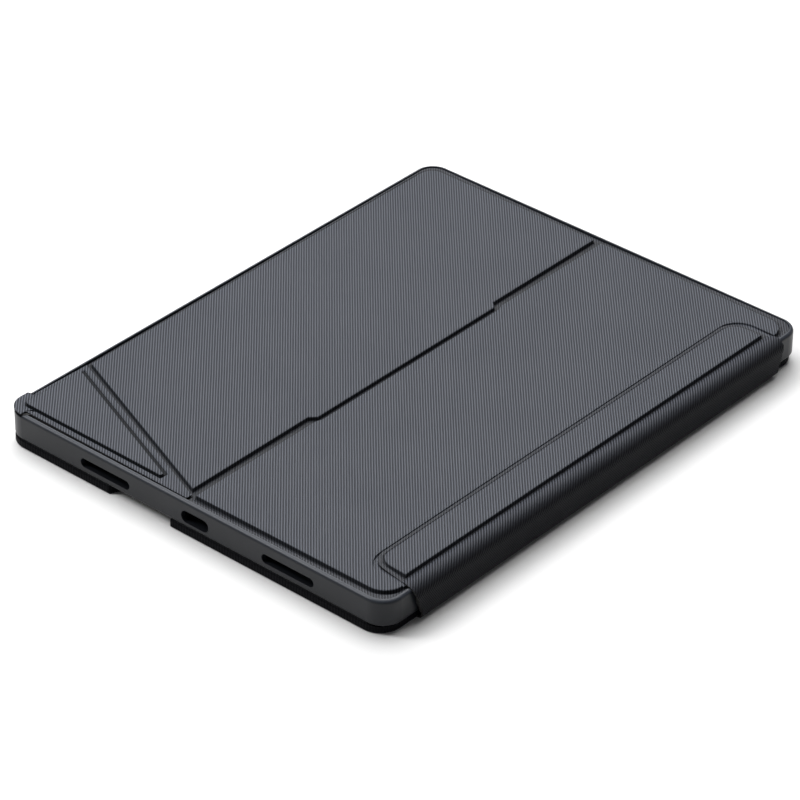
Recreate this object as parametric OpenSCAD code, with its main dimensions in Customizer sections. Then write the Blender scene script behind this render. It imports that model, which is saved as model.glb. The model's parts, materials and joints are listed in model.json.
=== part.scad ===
// Folio keyboard case for a 12.9 inch class tablet, closed and lying with the tablet's back up.
// The keyboard base lies on the table and the tablet shell lies face down on it. The spine joins
// them along the +Y long side. A kickstand panel with a folding corner lies in the shell's back.
// Origin: on the resting face, under the centre of the shell. +X runs along the case, +Z is up.

/* [Tablet] */
// Length of the tablet that the shell holds
tablet_l = 280.6; // [279:0.1:282]
// Width of the tablet
tablet_w = 214.9; // [213.5:0.1:216]
// Thickness of the tablet
tablet_t = 6.4; // [6.1:0.1:6.4]
// Play around the tablet on each side
tablet_play = 0.2; // [0.1:0.1:0.3]

/* [Shell] */
// Thickness of the shell's short end walls
end_wall = 2.5; // [2.2:0.1:2.8]
// Mean thickness of the shell's two long walls
long_wall = 3.05; // [2.9:0.05:3.2]
// How far the tablet sits off the shell's centre, towards the spine
bay_shift = 1; // [0:0.1:1.2]
// Corner radius of the shell seen from above
shell_corner_r = 10; // [9:0.5:11]
// Radius of the shell's top outer edge
rim_round = 1.8; // [1:0.1:1.8]
// Thickness of the lip that holds the tablet in
lip_t = 2; // [1.8:0.1:2]
// How far the lip reaches over the tablet's screen
lip_reach = 2; // [1:0.5:3]
// Thickness of the shell's back wall
back_wall = 1.6; // [1.5:0.1:1.8]
// Width of the rim around the cover
rim_w = 1.85; // [1.7:0.05:2]

/* [Cut-outs] */
// Centre of the charging port cut-out along Y
port_y = 3.4; // [2.6:0.1:4]
// Length of the charging port cut-out
port_l = 15.8; // [13:0.1:17]
// Height of the charging port cut-out
port_h = 6; // [5:0.1:6.2]
// Distance from the port's centre to each speaker slot's centre
speaker_dy = 53; // [50:0.5:56]
// Length of a speaker slot
speaker_l = 29.2; // [26:0.1:31]
// Height of a speaker slot
speaker_h = 4.5; // [4.4:0.1:5]
// Length of the top button's cut-out
button_l = 22; // [18:0.5:26]
// Length of the volume buttons' cut-out
volume_l = 42; // [36:0.5:46]
// Side of the square camera window
camera_side = 34; // [30:0.5:36]

/* [Cover] */
// Thickness of the boards under the skin
board_t = 1.8; // [1.6:0.1:1.8]
// Thickness of the ribbed skin
skin_t = 0.6; // [0.5:0.1:0.6]
// Thickness of the raised pads under the skin
pad_t = 1; // [0.8:0.1:1]
// Half length of the raised pads
pad_half_l = 136.6; // [135:0.1:137]
// Y of the fold between the kickstand and the near half
fold_y = -1.7; // [-1.9:0.1:-1.6]
// Angle of the corner's fold from the Y axis
diagonal_angle = 22; // [20:0.5:23]
// How far the loose corner stands open at rest, in degrees
corner_lift = 1.6; // [0:0.1:2]

/* [Spine and flap] */
// Length of the spine
spine_l = 251; // [240:1:255]
// How far the flap reaches from the centre line to its outer edge
flap_y = 84.6; // [82:0.1:88]
// Half length of the flap's raised stiffener
flap_pad_half_l = 121.5; // [110:0.5:122]

/* [Base] */
// Thickness of the base at its edge
base_t = 3.8; // [3.7:0.1:3.9]
// How far the base stands out past the shell at each end
base_overhang = 0.3; // [0:0.1:0.6]
// Corner radius of the base seen from above
base_corner_r = 11; // [9.5:0.5:12]
// Depth of the charging notch in the base's end
notch_depth = 5.2; // [4.5:0.1:5.5]

/* [Keyboard] */
// Key pitch along X
key_pitch = 17.6; // [17:0.1:17.6]
// Key pitch along Y
row_pitch = 18; // [17:0.1:18]
// Gap between neighbouring key caps
key_gap = 2.6; // [2.2:0.1:3]
// Depth of the function row
function_row_w = 10.5; // [9:0.5:11]
// Y of the front edge of the space bar's row
keys_front_y = -22; // [-24:0.5:-20]
// Key travel
key_travel = 1.1; // [0.8:0.1:1.1]

/* [Hidden] */
$fn = 64;

// Colours
skin_grey = [0.33, 0.34, 0.38];
lining_grey = [0.22, 0.22, 0.24];
board_brown = [0.45, 0.38, 0.30];
pad_white = [0.80, 0.80, 0.78];
shell_grey = [0.17, 0.17, 0.19];
deck_black = [0.10, 0.10, 0.11];
key_black = [0.15, 0.15, 0.16];
steel = [0.75, 0.75, 0.78];

// Shell, from the screen side up
bay_l = tablet_l + 2 * tablet_play;
bay_w = tablet_w + 2 * tablet_play;
shell_l = bay_l + 2 * end_wall;
shell_w = bay_w + 2 * long_wall;
shell_z = base_t + 0.4;
bay_z = shell_z + lip_t;
bay_top_z = bay_z + tablet_t + tablet_play;
floor_z = bay_top_z + back_wall;
skin_z = floor_z + board_t;
margin_z = skin_z + skin_t;
pad_top_z = skin_z + pad_t;
cover_z = pad_top_z + skin_t;
rim_z = margin_z + 0.4;
port_z = (bay_z + bay_top_z) / 2;
bay_corner_r = shell_corner_r - end_wall;
recess_l = shell_l - 2 * rim_w;
recess_w = shell_w - 2 * rim_w;
recess_r = shell_corner_r - rim_w;
camera_edge = 4;
camera_r = 8;
camera_x = -bay_l / 2 + camera_edge + camera_side / 2;
camera_y = bay_shift - bay_w / 2 + camera_edge + camera_side / 2;
button_y = camera_y + 2;
volume_x = camera_x + camera_side + 12;
lining_t = 0.3;
lining_margin = 4;
shell_lip_r = 1.2;
cover_lining_t = 0.2;
under_z = floor_z + 0.3 + cover_lining_t;
// Depth of the shapes that cut through a wall, and reach of the flat ones past the whole case
cut_depth = 10;
reach = 200;

// Folds of the cover: both axes lie just above the raised pads
fold_z = cover_z + 0.15;
fold_clear = 0.3;
fold_step_low_x = -63;
fold_step_high_x = 60;
fold_step_run = 3;
diagonal_x = 134.6;
diagonal_y = -5.2;

// Raised pads: how far each reaches, and the pads' edges at the fold's outer and middle stretches
near_pad_mid_y = 0.9;
near_pad_half_w = 105;
near_pad_r = 9;
near_pad_outer_y = -0.7;
near_pad_middle_y = 0.5;
near_clear = 0.2;
far_pad_half_w = 105.4;
far_pad_r = 7;
far_pad_outer_y = -6.2;
far_pad_middle_y = -2.8;
far_pad_gap = -0.6;
far_clear = 0.4;
far_fold_gap = 1;

// Loose corner: its pad, its board and the tab over the shell's corner
corner_pad_gap = 7.1;
corner_pad_high_y = -23.3;
corner_pad_half_l = pad_half_l - 0.2;
corner_pad_half_w = 104.6;
corner_clear = 1.1;
corner_fold_gap = 1.6;
corner_board_high_y = -16;
tab_x = 128.5;
tab_y = -100.5;

// Magnets of the cover, in pairs with those of the shell
magnet_r = 6;
magnet_t = 0.9;
magnet_clear = 0.1;
magnet_z = floor_z - magnet_t - 0.05;
far_magnet_xy = [[-82, -96], [0, -96], [80, -96]];
corner_magnet_xy = [127, -92];

// Spine and the two creases beside it
spine_y = shell_w / 2 + 0.7;
spine_t = 1.9;
spine_board_t = 1.1;
lower_axis_z = 2.6;
upper_axis_z = rim_z - 0.8;
spine_z = lower_axis_z + 0.9;
spine_top_z = upper_axis_z - 2.2;
flap_bed_drop = 0.5;
flap_z = cover_z - flap_bed_drop;
flap_margin_t = 0.7;
flap_end_y = shell_w / 2 - 0.9;
flap_pad_y = flap_y + 3;
flap_pad_end_y = 102.6;
flap_r = 10;
flap_bed_half_l = spine_l / 2 + 1.8;

// Base and keyboard, from the table up
base_l = shell_l + 2 * base_overhang;
base_front_y = -shell_w / 2 - base_overhang;
base_rear_y = shell_w / 2 - 1.2;
base_w = base_rear_y - base_front_y;
base_mid_y = (base_rear_y + base_front_y) / 2;
base_wall = 0.7;
base_top_r = 0.5;
base_foot_r = 0.9;
board_z = skin_t;
tray_z = board_z + 0.4;
tray_floor_z = tray_z + 0.6;
deck_z = base_t;
deck_t = 0.8;
deck_half_l = 134.8;
deck_front_y = -100.8;
deck_rear_y = 98.8;
deck_w = deck_rear_y - deck_front_y;
deck_mid_y = (deck_rear_y + deck_front_y) / 2;
deck_clear = 0.2;
deck_skirt = 1.2;
notch_x = base_l / 2 - notch_depth;
notch_low_y = -45;
notch_high_y = -13.4;
notch_slant = 2.6;
socket_y = -21;
socket_w = 7.6;
socket_h = 2.4;
socket_l = 5;
socket_z = board_z + 0.1;
light_y = -29;
light_z = tray_floor_z + 0.8;
light_r = 0.7;
switch_y = -37.5;
switch_w = 7;
switch_case_z = tray_floor_z + 0.1;
switch_case_h = 1.45;
switch_slot_h = 0.85;
switch_travel = 2;
screw_xy = [[-128, -92], [0, -92], [128, -92], [-128, 90.5], [0, 90.5], [128, 90.5]];
screw_r = 0.7;
screw_head_r = 1.3;
screw_boss_r = 2;
battery_size = [130, 52, 1.6];
battery_xy = [-30, -62];
circuit_size = [38, 46, 0.8];
circuit_xy = [112, -62];
base_magnet_x = 104;
base_magnet_y = -93;
base_magnet_r = 5;

// Keys: the width of each key in pitches, row by row, from the space bar's row to the function row
key_rows = [
    [1, 1, 1, 1.25, 5.5, 1.25, 1, 1, 1, 1],
    [2.25, 1, 1, 1, 1, 1, 1, 1, 1, 1, 1, 2.75],
    [1.75, 1, 1, 1, 1, 1, 1, 1, 1, 1, 1, 1, 2.25],
    [1.5, 1, 1, 1, 1, 1, 1, 1, 1, 1, 1, 1, 1, 1.5],
    [1, 1, 1, 1, 1, 1, 1, 1, 1, 1, 1, 1, 1, 2],
    [1, 1, 1, 1, 1, 1, 1, 1, 1, 1, 1, 1, 1, 1, 1]];
row_units = 15;
last_row = len(key_rows) - 1;
arrow_up_key = 8;
key_z = deck_z + 0.2;
key_t = 2;
key_corner_r = 1.5;
key_clear = 0.5;
dome_r = 2.6;
dome_h = 0.75;
membrane_t = 0.3;

function key_left(row, i) = i == 0 ? 0 : key_left(row, i - 1) + key_rows[row][i - 1];
function key_x(row, i) = (key_left(row, i) + key_rows[row][i] / 2 - row_units / 2) * key_pitch;
function row_depth(row) = row == last_row ? function_row_w : row_pitch;
function row_y(row) = keys_front_y + row * row_pitch + row_depth(row) / 2;
function is_split(row, i) = row == 0 && i == arrow_up_key;

// Flat shapes

module rounded_rect(l, w, r) {
    square([l - 2 * r, w], center = true);
    square([l, w - 2 * r], center = true);
    for (x = [-1, 1], y = [-1, 1])
        translate([x * (l / 2 - r), y * (w / 2 - r)]) circle(r);
}

// Section of a plate with round top and bottom edges, standing on the X axis
module soft_section(w, h, top_r, bottom_r) {
    translate([-w / 2, bottom_r]) square([w, h - top_r - bottom_r]);
    translate([top_r - w / 2, bottom_r]) square([w - 2 * top_r, h - bottom_r]);
    translate([bottom_r - w / 2, 0]) square([w - 2 * bottom_r, h - top_r]);
    for (side = [-1, 1]) {
        translate([side * (w / 2 - top_r), h - top_r]) circle(top_r);
        translate([side * (w / 2 - bottom_r), bottom_r]) circle(bottom_r);
    }
}

// The side of the corner fold that the kickstand is on, with the line moved towards the corner
module kickstand_side(shift) {
    translate([diagonal_x, diagonal_y]) rotate(-diagonal_angle)
        translate([shift - 2 * reach, -2 * reach]) square([2 * reach, 4 * reach]);
}

// The loose corner's side of the same line
module corner_side(shift) {
    translate([diagonal_x, diagonal_y]) rotate(-diagonal_angle)
        translate([shift, -2 * reach]) square([2 * reach, 4 * reach]);
}

// Everything on the opening side of a stepped line: the line is at outer_y near both ends
// and at middle_y over the middle third
module below_fold(outer_y, middle_y) {
    run = fold_step_run / 2;
    polygon([[-reach, -reach], [reach, -reach], [reach, outer_y],
        [fold_step_high_x + run, outer_y], [fold_step_high_x - run, middle_y],
        [fold_step_low_x + run, middle_y], [fold_step_low_x - run, outer_y],
        [-reach, outer_y]]);
}

module recess_outline(gap) {
    rounded_rect(recess_l - 2 * gap, recess_w - 2 * gap, recess_r - gap);
}

module near_outline(inset) {
    intersection() {
        recess_outline(near_clear + inset);
        translate([-reach, fold_y + fold_clear + inset]) square([2 * reach, reach]);
    }
}

module near_pad_outline(grow) {
    difference() {
        translate([0, near_pad_mid_y])
            rounded_rect(2 * (pad_half_l + grow), 2 * (near_pad_half_w + grow), near_pad_r);
        below_fold(near_pad_outer_y - grow, near_pad_middle_y - grow);
    }
}

module far_outline(inset) {
    intersection() {
        recess_outline(far_clear + inset);
        translate([-reach, fold_y - fold_clear - inset - reach]) square([2 * reach, reach]);
        kickstand_side(far_fold_gap - inset);
    }
}

module far_pad_outline(grow) {
    intersection() {
        rounded_rect(2 * (pad_half_l + grow), 2 * (far_pad_half_w + grow), far_pad_r);
        below_fold(far_pad_outer_y + grow, far_pad_middle_y + grow);
        kickstand_side(far_pad_gap + grow);
    }
}

module corner_outline(inset, high_y) {
    intersection() {
        recess_outline(corner_clear + inset);
        translate([-reach, high_y - inset - reach]) square([2 * reach, reach]);
        corner_side(corner_fold_gap + inset);
    }
}

// Tab that reaches over the shell's corner, for lifting the kickstand
module corner_tab() {
    intersection() {
        rounded_rect(shell_l, shell_w, shell_corner_r);
        translate([tab_x, tab_y - reach]) square(reach);
    }
}

module corner_pad_outline(grow) {
    intersection() {
        rounded_rect(2 * (corner_pad_half_l + grow), 2 * (corner_pad_half_w + grow), 2);
        corner_side(corner_pad_gap - grow);
        translate([0, corner_pad_high_y + grow - reach]) square(reach);
    }
}

module flap_outline() {
    intersection() {
        translate([0, flap_y + 50]) rounded_rect(spine_l - 1, 100, flap_r);
        translate([-reach, 0]) square([2 * reach, flap_end_y]);
    }
}

module flap_pad_outline(grow) {
    intersection() {
        translate([0, flap_pad_y - grow + 50])
            rounded_rect(2 * (flap_pad_half_l + grow), 100, flap_r - 2);
        translate([-reach, 0]) square([2 * reach, flap_pad_end_y + grow]);
    }
}

// Shallow bed in the near half that the flap lies in
module flap_bed_outline() {
    translate([0, flap_y - 0.4 + 50]) rounded_rect(2 * flap_bed_half_l, 100, flap_r + 1);
}

module notch_outline(grow) {
    polygon([[notch_x - grow, notch_low_y - grow], [notch_x - grow, notch_high_y + grow],
        [notch_x + 10, notch_high_y + grow + 10 * notch_slant / notch_depth],
        [notch_x + 10, notch_low_y - grow - 10 * notch_slant / notch_depth]]);
}

module base_pocket_outline() {
    difference() {
        translate([0, base_mid_y])
            rounded_rect(base_l - 2 * base_wall, base_w - 2 * base_wall, base_corner_r - base_wall);
        notch_outline(base_wall);
    }
}

module deck_outline(inset) {
    translate([0, deck_mid_y])
        rounded_rect(2 * (deck_half_l - inset), deck_w - 2 * inset, 4);
}

// Solids that are used more than once

module slab(z, h) {
    translate([0, 0, z]) linear_extrude(h) children();
}

// Plate with a round outline and round top and bottom edges
module soft_plate(l, w, h, r, top_r, bottom_r) {
    rotate([90, 0, 90]) linear_extrude(l - 2 * r, center = true) soft_section(w, h, top_r, bottom_r);
    rotate([90, 0, 0]) linear_extrude(w - 2 * r, center = true) soft_section(l, h, top_r, bottom_r);
    for (x = [-1, 1], y = [-1, 1])
        translate([x * (l / 2 - r), y * (w / 2 - r), 0])
            rotate_extrude() intersection() {
                soft_section(2 * r, h, top_r, bottom_r);
                square([r, h]);
            }
}

// Round-ended slot along Y that cuts through a short end wall
module end_slot(x, y, l, h) {
    translate([x, y, port_z]) rotate([90, 0, 90])
        linear_extrude(cut_depth, center = true) rounded_rect(l, h, h / 2 - 0.1);
}

module disc(xy, z, r, h) {
    translate([xy[0], xy[1], z]) cylinder(r = r, h = h);
}

// Tilts the loose corner about its fold by the angle that it stands open at rest
module lifted_corner() {
    translate([diagonal_x, diagonal_y, fold_z])
        rotate(a = corner_lift, v = [-sin(diagonal_angle), -cos(diagonal_angle), 0])
            translate([-diagonal_x, -diagonal_y, -fold_z]) children();
}

// Keys first to last of one row
module key_run(row, first, last) {
    color(key_black) for (i = [first:last]) key_cap(row, i);
}

module key_cap(row, i) {
    l = key_rows[row][i] * key_pitch - key_gap;
    w = row_depth(row) - key_gap;
    if (is_split(row, i)) {
        for (half = [-1, 1])
            translate([key_x(row, i), row_y(row) + half * (w / 4 + 0.2)])
                slab(key_z, key_t) rounded_rect(l, w / 2 - 0.4, 1);
    } else {
        translate([key_x(row, i), row_y(row)])
            slab(key_z, key_t) rounded_rect(l, w, key_corner_r);
    }
}

module key_wells() {
    for (row = [0:last_row], i = [0:len(key_rows[row]) - 1])
        translate([key_x(row, i), row_y(row)])
            square([key_rows[row][i] * key_pitch - key_gap + 2 * key_clear,
                row_depth(row) - key_gap + 2 * key_clear], center = true);
}

// Base

module base_skin() {
    color(skin_grey) difference() {
        translate([0, base_mid_y, 0])
            soft_plate(base_l, base_w, base_t, base_corner_r, base_top_r, base_foot_r);
        slab(skin_t, 10) base_pocket_outline();
        slab(-1, 10) notch_outline(0);
        socket_opening();
        light_opening();
        switch_opening();
    }
}

module base_board() {
    color(board_brown) difference() {
        slab(board_z, tray_z - board_z) base_pocket_outline();
        socket_opening();
    }
}

module base_lining() {
    color(lining_grey) slab(base_t - skin_t, skin_t) difference() {
        base_pocket_outline();
        deck_outline(0);
    }
}

module socket_opening() {
    translate([notch_x - base_wall - socket_l - 0.1, socket_y - socket_w / 2, socket_z])
        cube([cut_depth, socket_w, socket_h]);
}

module light_opening() {
    translate([notch_x - 7, light_y, light_z]) rotate([0, 90, 0])
        cylinder(r = light_r, h = cut_depth);
}

module switch_opening() {
    translate([notch_x - 1, switch_y, switch_case_z + 0.3 + switch_slot_h / 2])
        cube([4, switch_w - 1.4, switch_slot_h + 0.1], center = true);
}

module switch_case_opening() {
    translate([notch_x - 5.2, switch_y - switch_w / 2, tray_floor_z])
        cube([5, switch_w, switch_case_h + 0.15]);
}

module keyboard_tray() {
    color(deck_black) difference() {
        slab(tray_z, base_t - skin_t - tray_z) base_pocket_outline();
        slab(tray_floor_z, 10) deck_outline(0);
        socket_opening();
        light_opening();
        switch_case_opening();
        for (xy = screw_xy) {
            disc(xy, 0, screw_r + 0.1, 5);
            disc(xy, tray_z, screw_head_r + 0.1, 0.4);
        }
    }
}

module keyboard_deck() {
    color(deck_black) {
        difference() {
            slab(tray_floor_z, deck_z + deck_t - tray_floor_z) deck_outline(deck_clear);
            slab(tray_floor_z, deck_z - tray_floor_z) deck_outline(deck_skirt + deck_clear);
            slab(deck_z - 1, 5) key_wells();
            socket_opening();
            light_opening();
            switch_case_opening();
        }
        for (xy = screw_xy)
            difference() {
                disc(xy, tray_floor_z, screw_boss_r, deck_z - tray_floor_z + 0.1);
                disc(xy, 0, screw_r, deck_z - 0.4);
            }
    }
}

module deck_screws() {
    color(steel) for (xy = screw_xy) {
        disc(xy, tray_z + 0.05, screw_head_r, 0.35);
        disc(xy, tray_z + 0.2, screw_r - 0.05, deck_z - 0.7 - tray_z);
    }
}

module battery() {
    color("silver") translate([battery_xy[0], battery_xy[1], tray_floor_z + battery_size[2] / 2])
        cube(battery_size, center = true);
}

module circuit_board() {
    color("darkgreen")
        translate([circuit_xy[0], circuit_xy[1], tray_floor_z + 0.1 + circuit_size[2] / 2])
        cube(circuit_size, center = true);
}

module key_membrane() {
    l = row_units * key_pitch;
    w = last_row * row_pitch + function_row_w;
    color("dimgray") translate([-l / 2, keys_front_y, tray_floor_z]) cube([l, w, membrane_t]);
}

module rubber_domes() {
    color("gainsboro") for (row = [0:last_row], i = [0:len(key_rows[row]) - 1])
        disc([key_x(row, i), row_y(row)], tray_floor_z + membrane_t, dome_r, dome_h);
}

module charge_socket() {
    color(steel)
        translate([notch_x - base_wall - socket_l, socket_y - socket_w / 2 + 0.1, socket_z + 0.1])
        difference() {
            cube([socket_l, socket_w - 0.2, socket_h - 0.2]);
            translate([1.2, 0.4, 0.4]) cube([socket_l, socket_w - 1, socket_h - 1]);
        }
}

module power_switch_case() {
    color(deck_black) translate([notch_x - 5.1, switch_y - switch_w / 2 + 0.1, switch_case_z])
        difference() {
            cube([4, switch_w - 0.2, switch_case_h]);
            translate([1, 0.7, 0.3]) cube([5, switch_w - 1.6, switch_slot_h]);
        }
}

module power_switch() {
    color(shell_grey)
        translate([notch_x - 3.6, switch_y - switch_travel / 2 - 1, switch_case_z + 0.4])
        cube([4.8, 2, switch_slot_h - 0.2]);
}

module status_light() {
    color("white") translate([notch_x - 6, light_y, light_z]) rotate([0, 90, 0])
        cylinder(r = light_r - 0.1, h = 6);
}

module base_magnets() {
    color(steel) for (side = [-1, 1])
        disc([side * base_magnet_x, base_magnet_y], tray_floor_z + 0.1, base_magnet_r, 1.6);
}

// Keys

module function_keys() { key_run(5, 0, 14); }
module number_keys() { key_run(4, 0, 12); }
module backspace_key() { key_run(4, 13, 13); }
module tab_key() { key_run(3, 0, 0); }
module upper_letter_keys() { key_run(3, 1, 12); }
module backslash_key() { key_run(3, 13, 13); }
module caps_lock_key() { key_run(2, 0, 0); }
module middle_letter_keys() { key_run(2, 1, 11); }
module enter_key() { key_run(2, 12, 12); }
module left_shift_key() { key_run(1, 0, 0); }
module lower_letter_keys() { key_run(1, 1, 10); }
module right_shift_key() { key_run(1, 11, 11); }
module left_modifier_keys() { key_run(0, 0, 3); }
module space_bar() { key_run(0, 4, 4); }
module right_modifier_keys() { key_run(0, 5, 6); }
module arrow_keys() { key_run(0, 7, 9); }

// Spine

module spine_bar(l, y, t, z, h, r) {
    translate([0, y + t / 2, z]) rotate([90, 0, 90])
        linear_extrude(l, center = true) soft_section(t, h, r, r);
}

module spine_skin() {
    h = spine_top_z - spine_z;
    color(skin_grey) difference() {
        spine_bar(spine_l, spine_y + cover_lining_t, spine_t - cover_lining_t, spine_z, h, 0.8);
        translate([0, spine_y, spine_z + h / 2])
            cube([spine_l - 2, 2 * (spine_board_t + cover_lining_t), h - 2], center = true);
    }
}

module spine_board() {
    h = spine_top_z - spine_z - 2;
    color(board_brown)
        translate([0, spine_y + cover_lining_t + spine_board_t / 2, spine_z + 1 + h / 2])
            cube([spine_l - 2, spine_board_t, h], center = true);
}

module spine_lining() {
    h = spine_top_z - spine_z - 1.6;
    color(lining_grey) translate([0, spine_y + cover_lining_t / 2, spine_z + 0.8 + h / 2])
        cube([spine_l, cover_lining_t, h], center = true);
}

// Tablet shell

module tablet_shell() {
    color(shell_grey) difference() {
        translate([0, 0, shell_z])
            soft_plate(shell_l, shell_w, rim_z - shell_z, shell_corner_r, rim_round, shell_lip_r);
        slab(floor_z, 10) recess_outline(0);
        translate([0, bay_shift]) slab(bay_z, bay_top_z - bay_z)
            rounded_rect(bay_l, bay_w, bay_corner_r);
        translate([0, bay_shift]) slab(0, bay_z + 1)
            rounded_rect(bay_l - 2 * lip_reach, bay_w - 2 * lip_reach, bay_corner_r - lip_reach);
        shell_lining_solid();
        slab(skin_z - 0.3, 10) corner_tab();
        end_cutouts();
        translate([volume_x, -shell_w / 2, port_z]) rotate([90, 0, 0])
            linear_extrude(2 * cut_depth, center = true) rounded_rect(volume_l, port_h, 2.5);
        slab(bay_top_z - 1, 10) camera_window();
        for (xy = concat(far_magnet_xy, [corner_magnet_xy]))
            disc(xy, magnet_z, magnet_r + magnet_clear, cut_depth);
    }
}

module end_cutouts() {
    end_slot(shell_l / 2, port_y, port_l, port_h);
    for (side = [-1, 1]) {
        end_slot(shell_l / 2, port_y + side * speaker_dy, speaker_l, speaker_h);
        end_slot(-shell_l / 2, port_y + side * speaker_dy, speaker_l, speaker_h);
    }
    end_slot(-shell_l / 2, button_y, button_l, port_h);
}

module camera_window() {
    translate([camera_x, camera_y]) rounded_rect(camera_side, camera_side, camera_r);
}

module shell_lining_solid() {
    difference() {
        translate([0, bay_shift]) slab(bay_top_z, lining_t)
            rounded_rect(bay_l - 2 * lining_margin, bay_w - 2 * lining_margin, bay_corner_r);
        translate([camera_x, camera_y]) slab(bay_top_z, lining_t)
            rounded_rect(camera_side + 4, camera_side + 4, camera_r);
    }
}

module shell_lining() {
    color(lining_grey) shell_lining_solid();
}

module shell_magnets() {
    color(steel) for (xy = concat(far_magnet_xy, [corner_magnet_xy]))
        disc(xy, magnet_z, magnet_r, magnet_t);
}

// Near half of the cover, glued into the shell

module near_board() {
    color(board_brown) slab(floor_z, board_t) near_outline(skin_t);
}

module near_pad_solid() {
    difference() {
        slab(skin_z, pad_t) near_pad_outline(0);
        slab(pad_top_z - flap_bed_drop, 5) flap_bed_outline();
    }
}

module near_pad() {
    color(pad_white) near_pad_solid();
}

module near_skin() {
    color(skin_grey) difference() {
        union() {
            slab(floor_z, margin_z - floor_z) near_outline(0);
            slab(skin_z, cover_z - skin_z) near_pad_outline(skin_t);
        }
        slab(floor_z, board_t) near_outline(skin_t);
        near_pad_solid();
        slab(cover_z - flap_bed_drop, 5) flap_bed_outline();
    }
}

// Flap of the spine, glued over the near half

module flap_board() {
    color(board_brown) slab(flap_z + cover_lining_t, pad_t - 0.2) flap_pad_outline(0);
}

module flap_skin() {
    color(skin_grey) difference() {
        union() {
            slab(flap_z + cover_lining_t, flap_margin_t - cover_lining_t) flap_outline();
            slab(flap_z + cover_lining_t, pad_t - 0.2 + skin_t) flap_pad_outline(skin_t);
        }
        slab(flap_z + cover_lining_t, pad_t - 0.2) flap_pad_outline(0);
    }
}

module flap_lining() {
    color(lining_grey) slab(flap_z, cover_lining_t) flap_outline();
}

// Kickstand: the far half of the cover

module far_lining() {
    color(lining_grey) slab(under_z - cover_lining_t, cover_lining_t) far_outline(0);
}

module far_board() {
    color(board_brown) difference() {
        slab(under_z, skin_z - under_z) far_outline(skin_t);
        for (xy = far_magnet_xy)
            disc(xy, floor_z, magnet_r + magnet_clear, under_z + magnet_t - floor_z);
    }
}

module far_magnets() {
    color(steel) for (xy = far_magnet_xy) disc(xy, under_z, magnet_r, magnet_t);
}

module far_pad() {
    color(pad_white) slab(skin_z, pad_t) far_pad_outline(0);
}

module far_skin() {
    color(skin_grey) difference() {
        union() {
            slab(under_z, margin_z - under_z) far_outline(0);
            slab(skin_z, cover_z - skin_z) far_pad_outline(skin_t);
        }
        slab(under_z, skin_z - under_z) far_outline(skin_t);
        slab(skin_z, pad_t) far_pad_outline(0);
    }
}

// Loose corner, folded to the kickstand along the diagonal. Its board stops short of the fold's
// upper end, where only the skin is narrow enough to turn, and its skin stops where the fold ends.

module corner_lining() {
    color(lining_grey) lifted_corner()
        slab(under_z - cover_lining_t, cover_lining_t) corner_outline(0, corner_board_high_y);
}

module corner_board() {
    color(board_brown) lifted_corner() difference() {
        slab(under_z, skin_z - under_z) corner_outline(skin_t, corner_board_high_y);
        disc(corner_magnet_xy, floor_z, magnet_r + magnet_clear, under_z + magnet_t - floor_z);
    }
}

module corner_magnet() {
    color(steel) lifted_corner() disc(corner_magnet_xy, under_z, magnet_r, magnet_t);
}

module corner_pad() {
    color(pad_white) lifted_corner() slab(skin_z, pad_t) corner_pad_outline(0);
}

module corner_skin() {
    color(skin_grey) lifted_corner() difference() {
        union() {
            slab(under_z, skin_z - under_z) corner_outline(0, corner_board_high_y);
            slab(skin_z, skin_t) corner_outline(0, diagonal_y);
            slab(skin_z, skin_t) corner_tab();
            slab(skin_z, cover_z - skin_z) corner_pad_outline(skin_t);
        }
        slab(under_z, skin_z - under_z) corner_outline(skin_t, corner_board_high_y);
        slab(skin_z, pad_t) corner_pad_outline(0);
    }
}

base_skin();
base_board();
base_lining();
keyboard_tray();
keyboard_deck();
deck_screws();
battery();
circuit_board();
key_membrane();
rubber_domes();
charge_socket();
power_switch_case();
power_switch();
status_light();
base_magnets();
function_keys();
number_keys();
backspace_key();
tab_key();
upper_letter_keys();
backslash_key();
caps_lock_key();
middle_letter_keys();
enter_key();
left_shift_key();
lower_letter_keys();
right_shift_key();
left_modifier_keys();
space_bar();
right_modifier_keys();
arrow_keys();
spine_skin();
spine_board();
spine_lining();
tablet_shell();
shell_lining();
shell_magnets();
near_board();
near_pad();
near_skin();
flap_skin();
flap_board();
flap_lining();
far_skin();
far_pad();
far_board();
far_lining();
far_magnets();
corner_skin();
corner_pad();
corner_board();
corner_lining();
corner_magnet();
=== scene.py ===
"""Looks of the tablet keyboard case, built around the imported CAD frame.

Outlines and profiles are in millimetres, in the frame's axes. add_piece() turns them into metres.
"""

import json
import math

import bmesh
import bpy
from mathutils import Matrix, Vector


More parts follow.
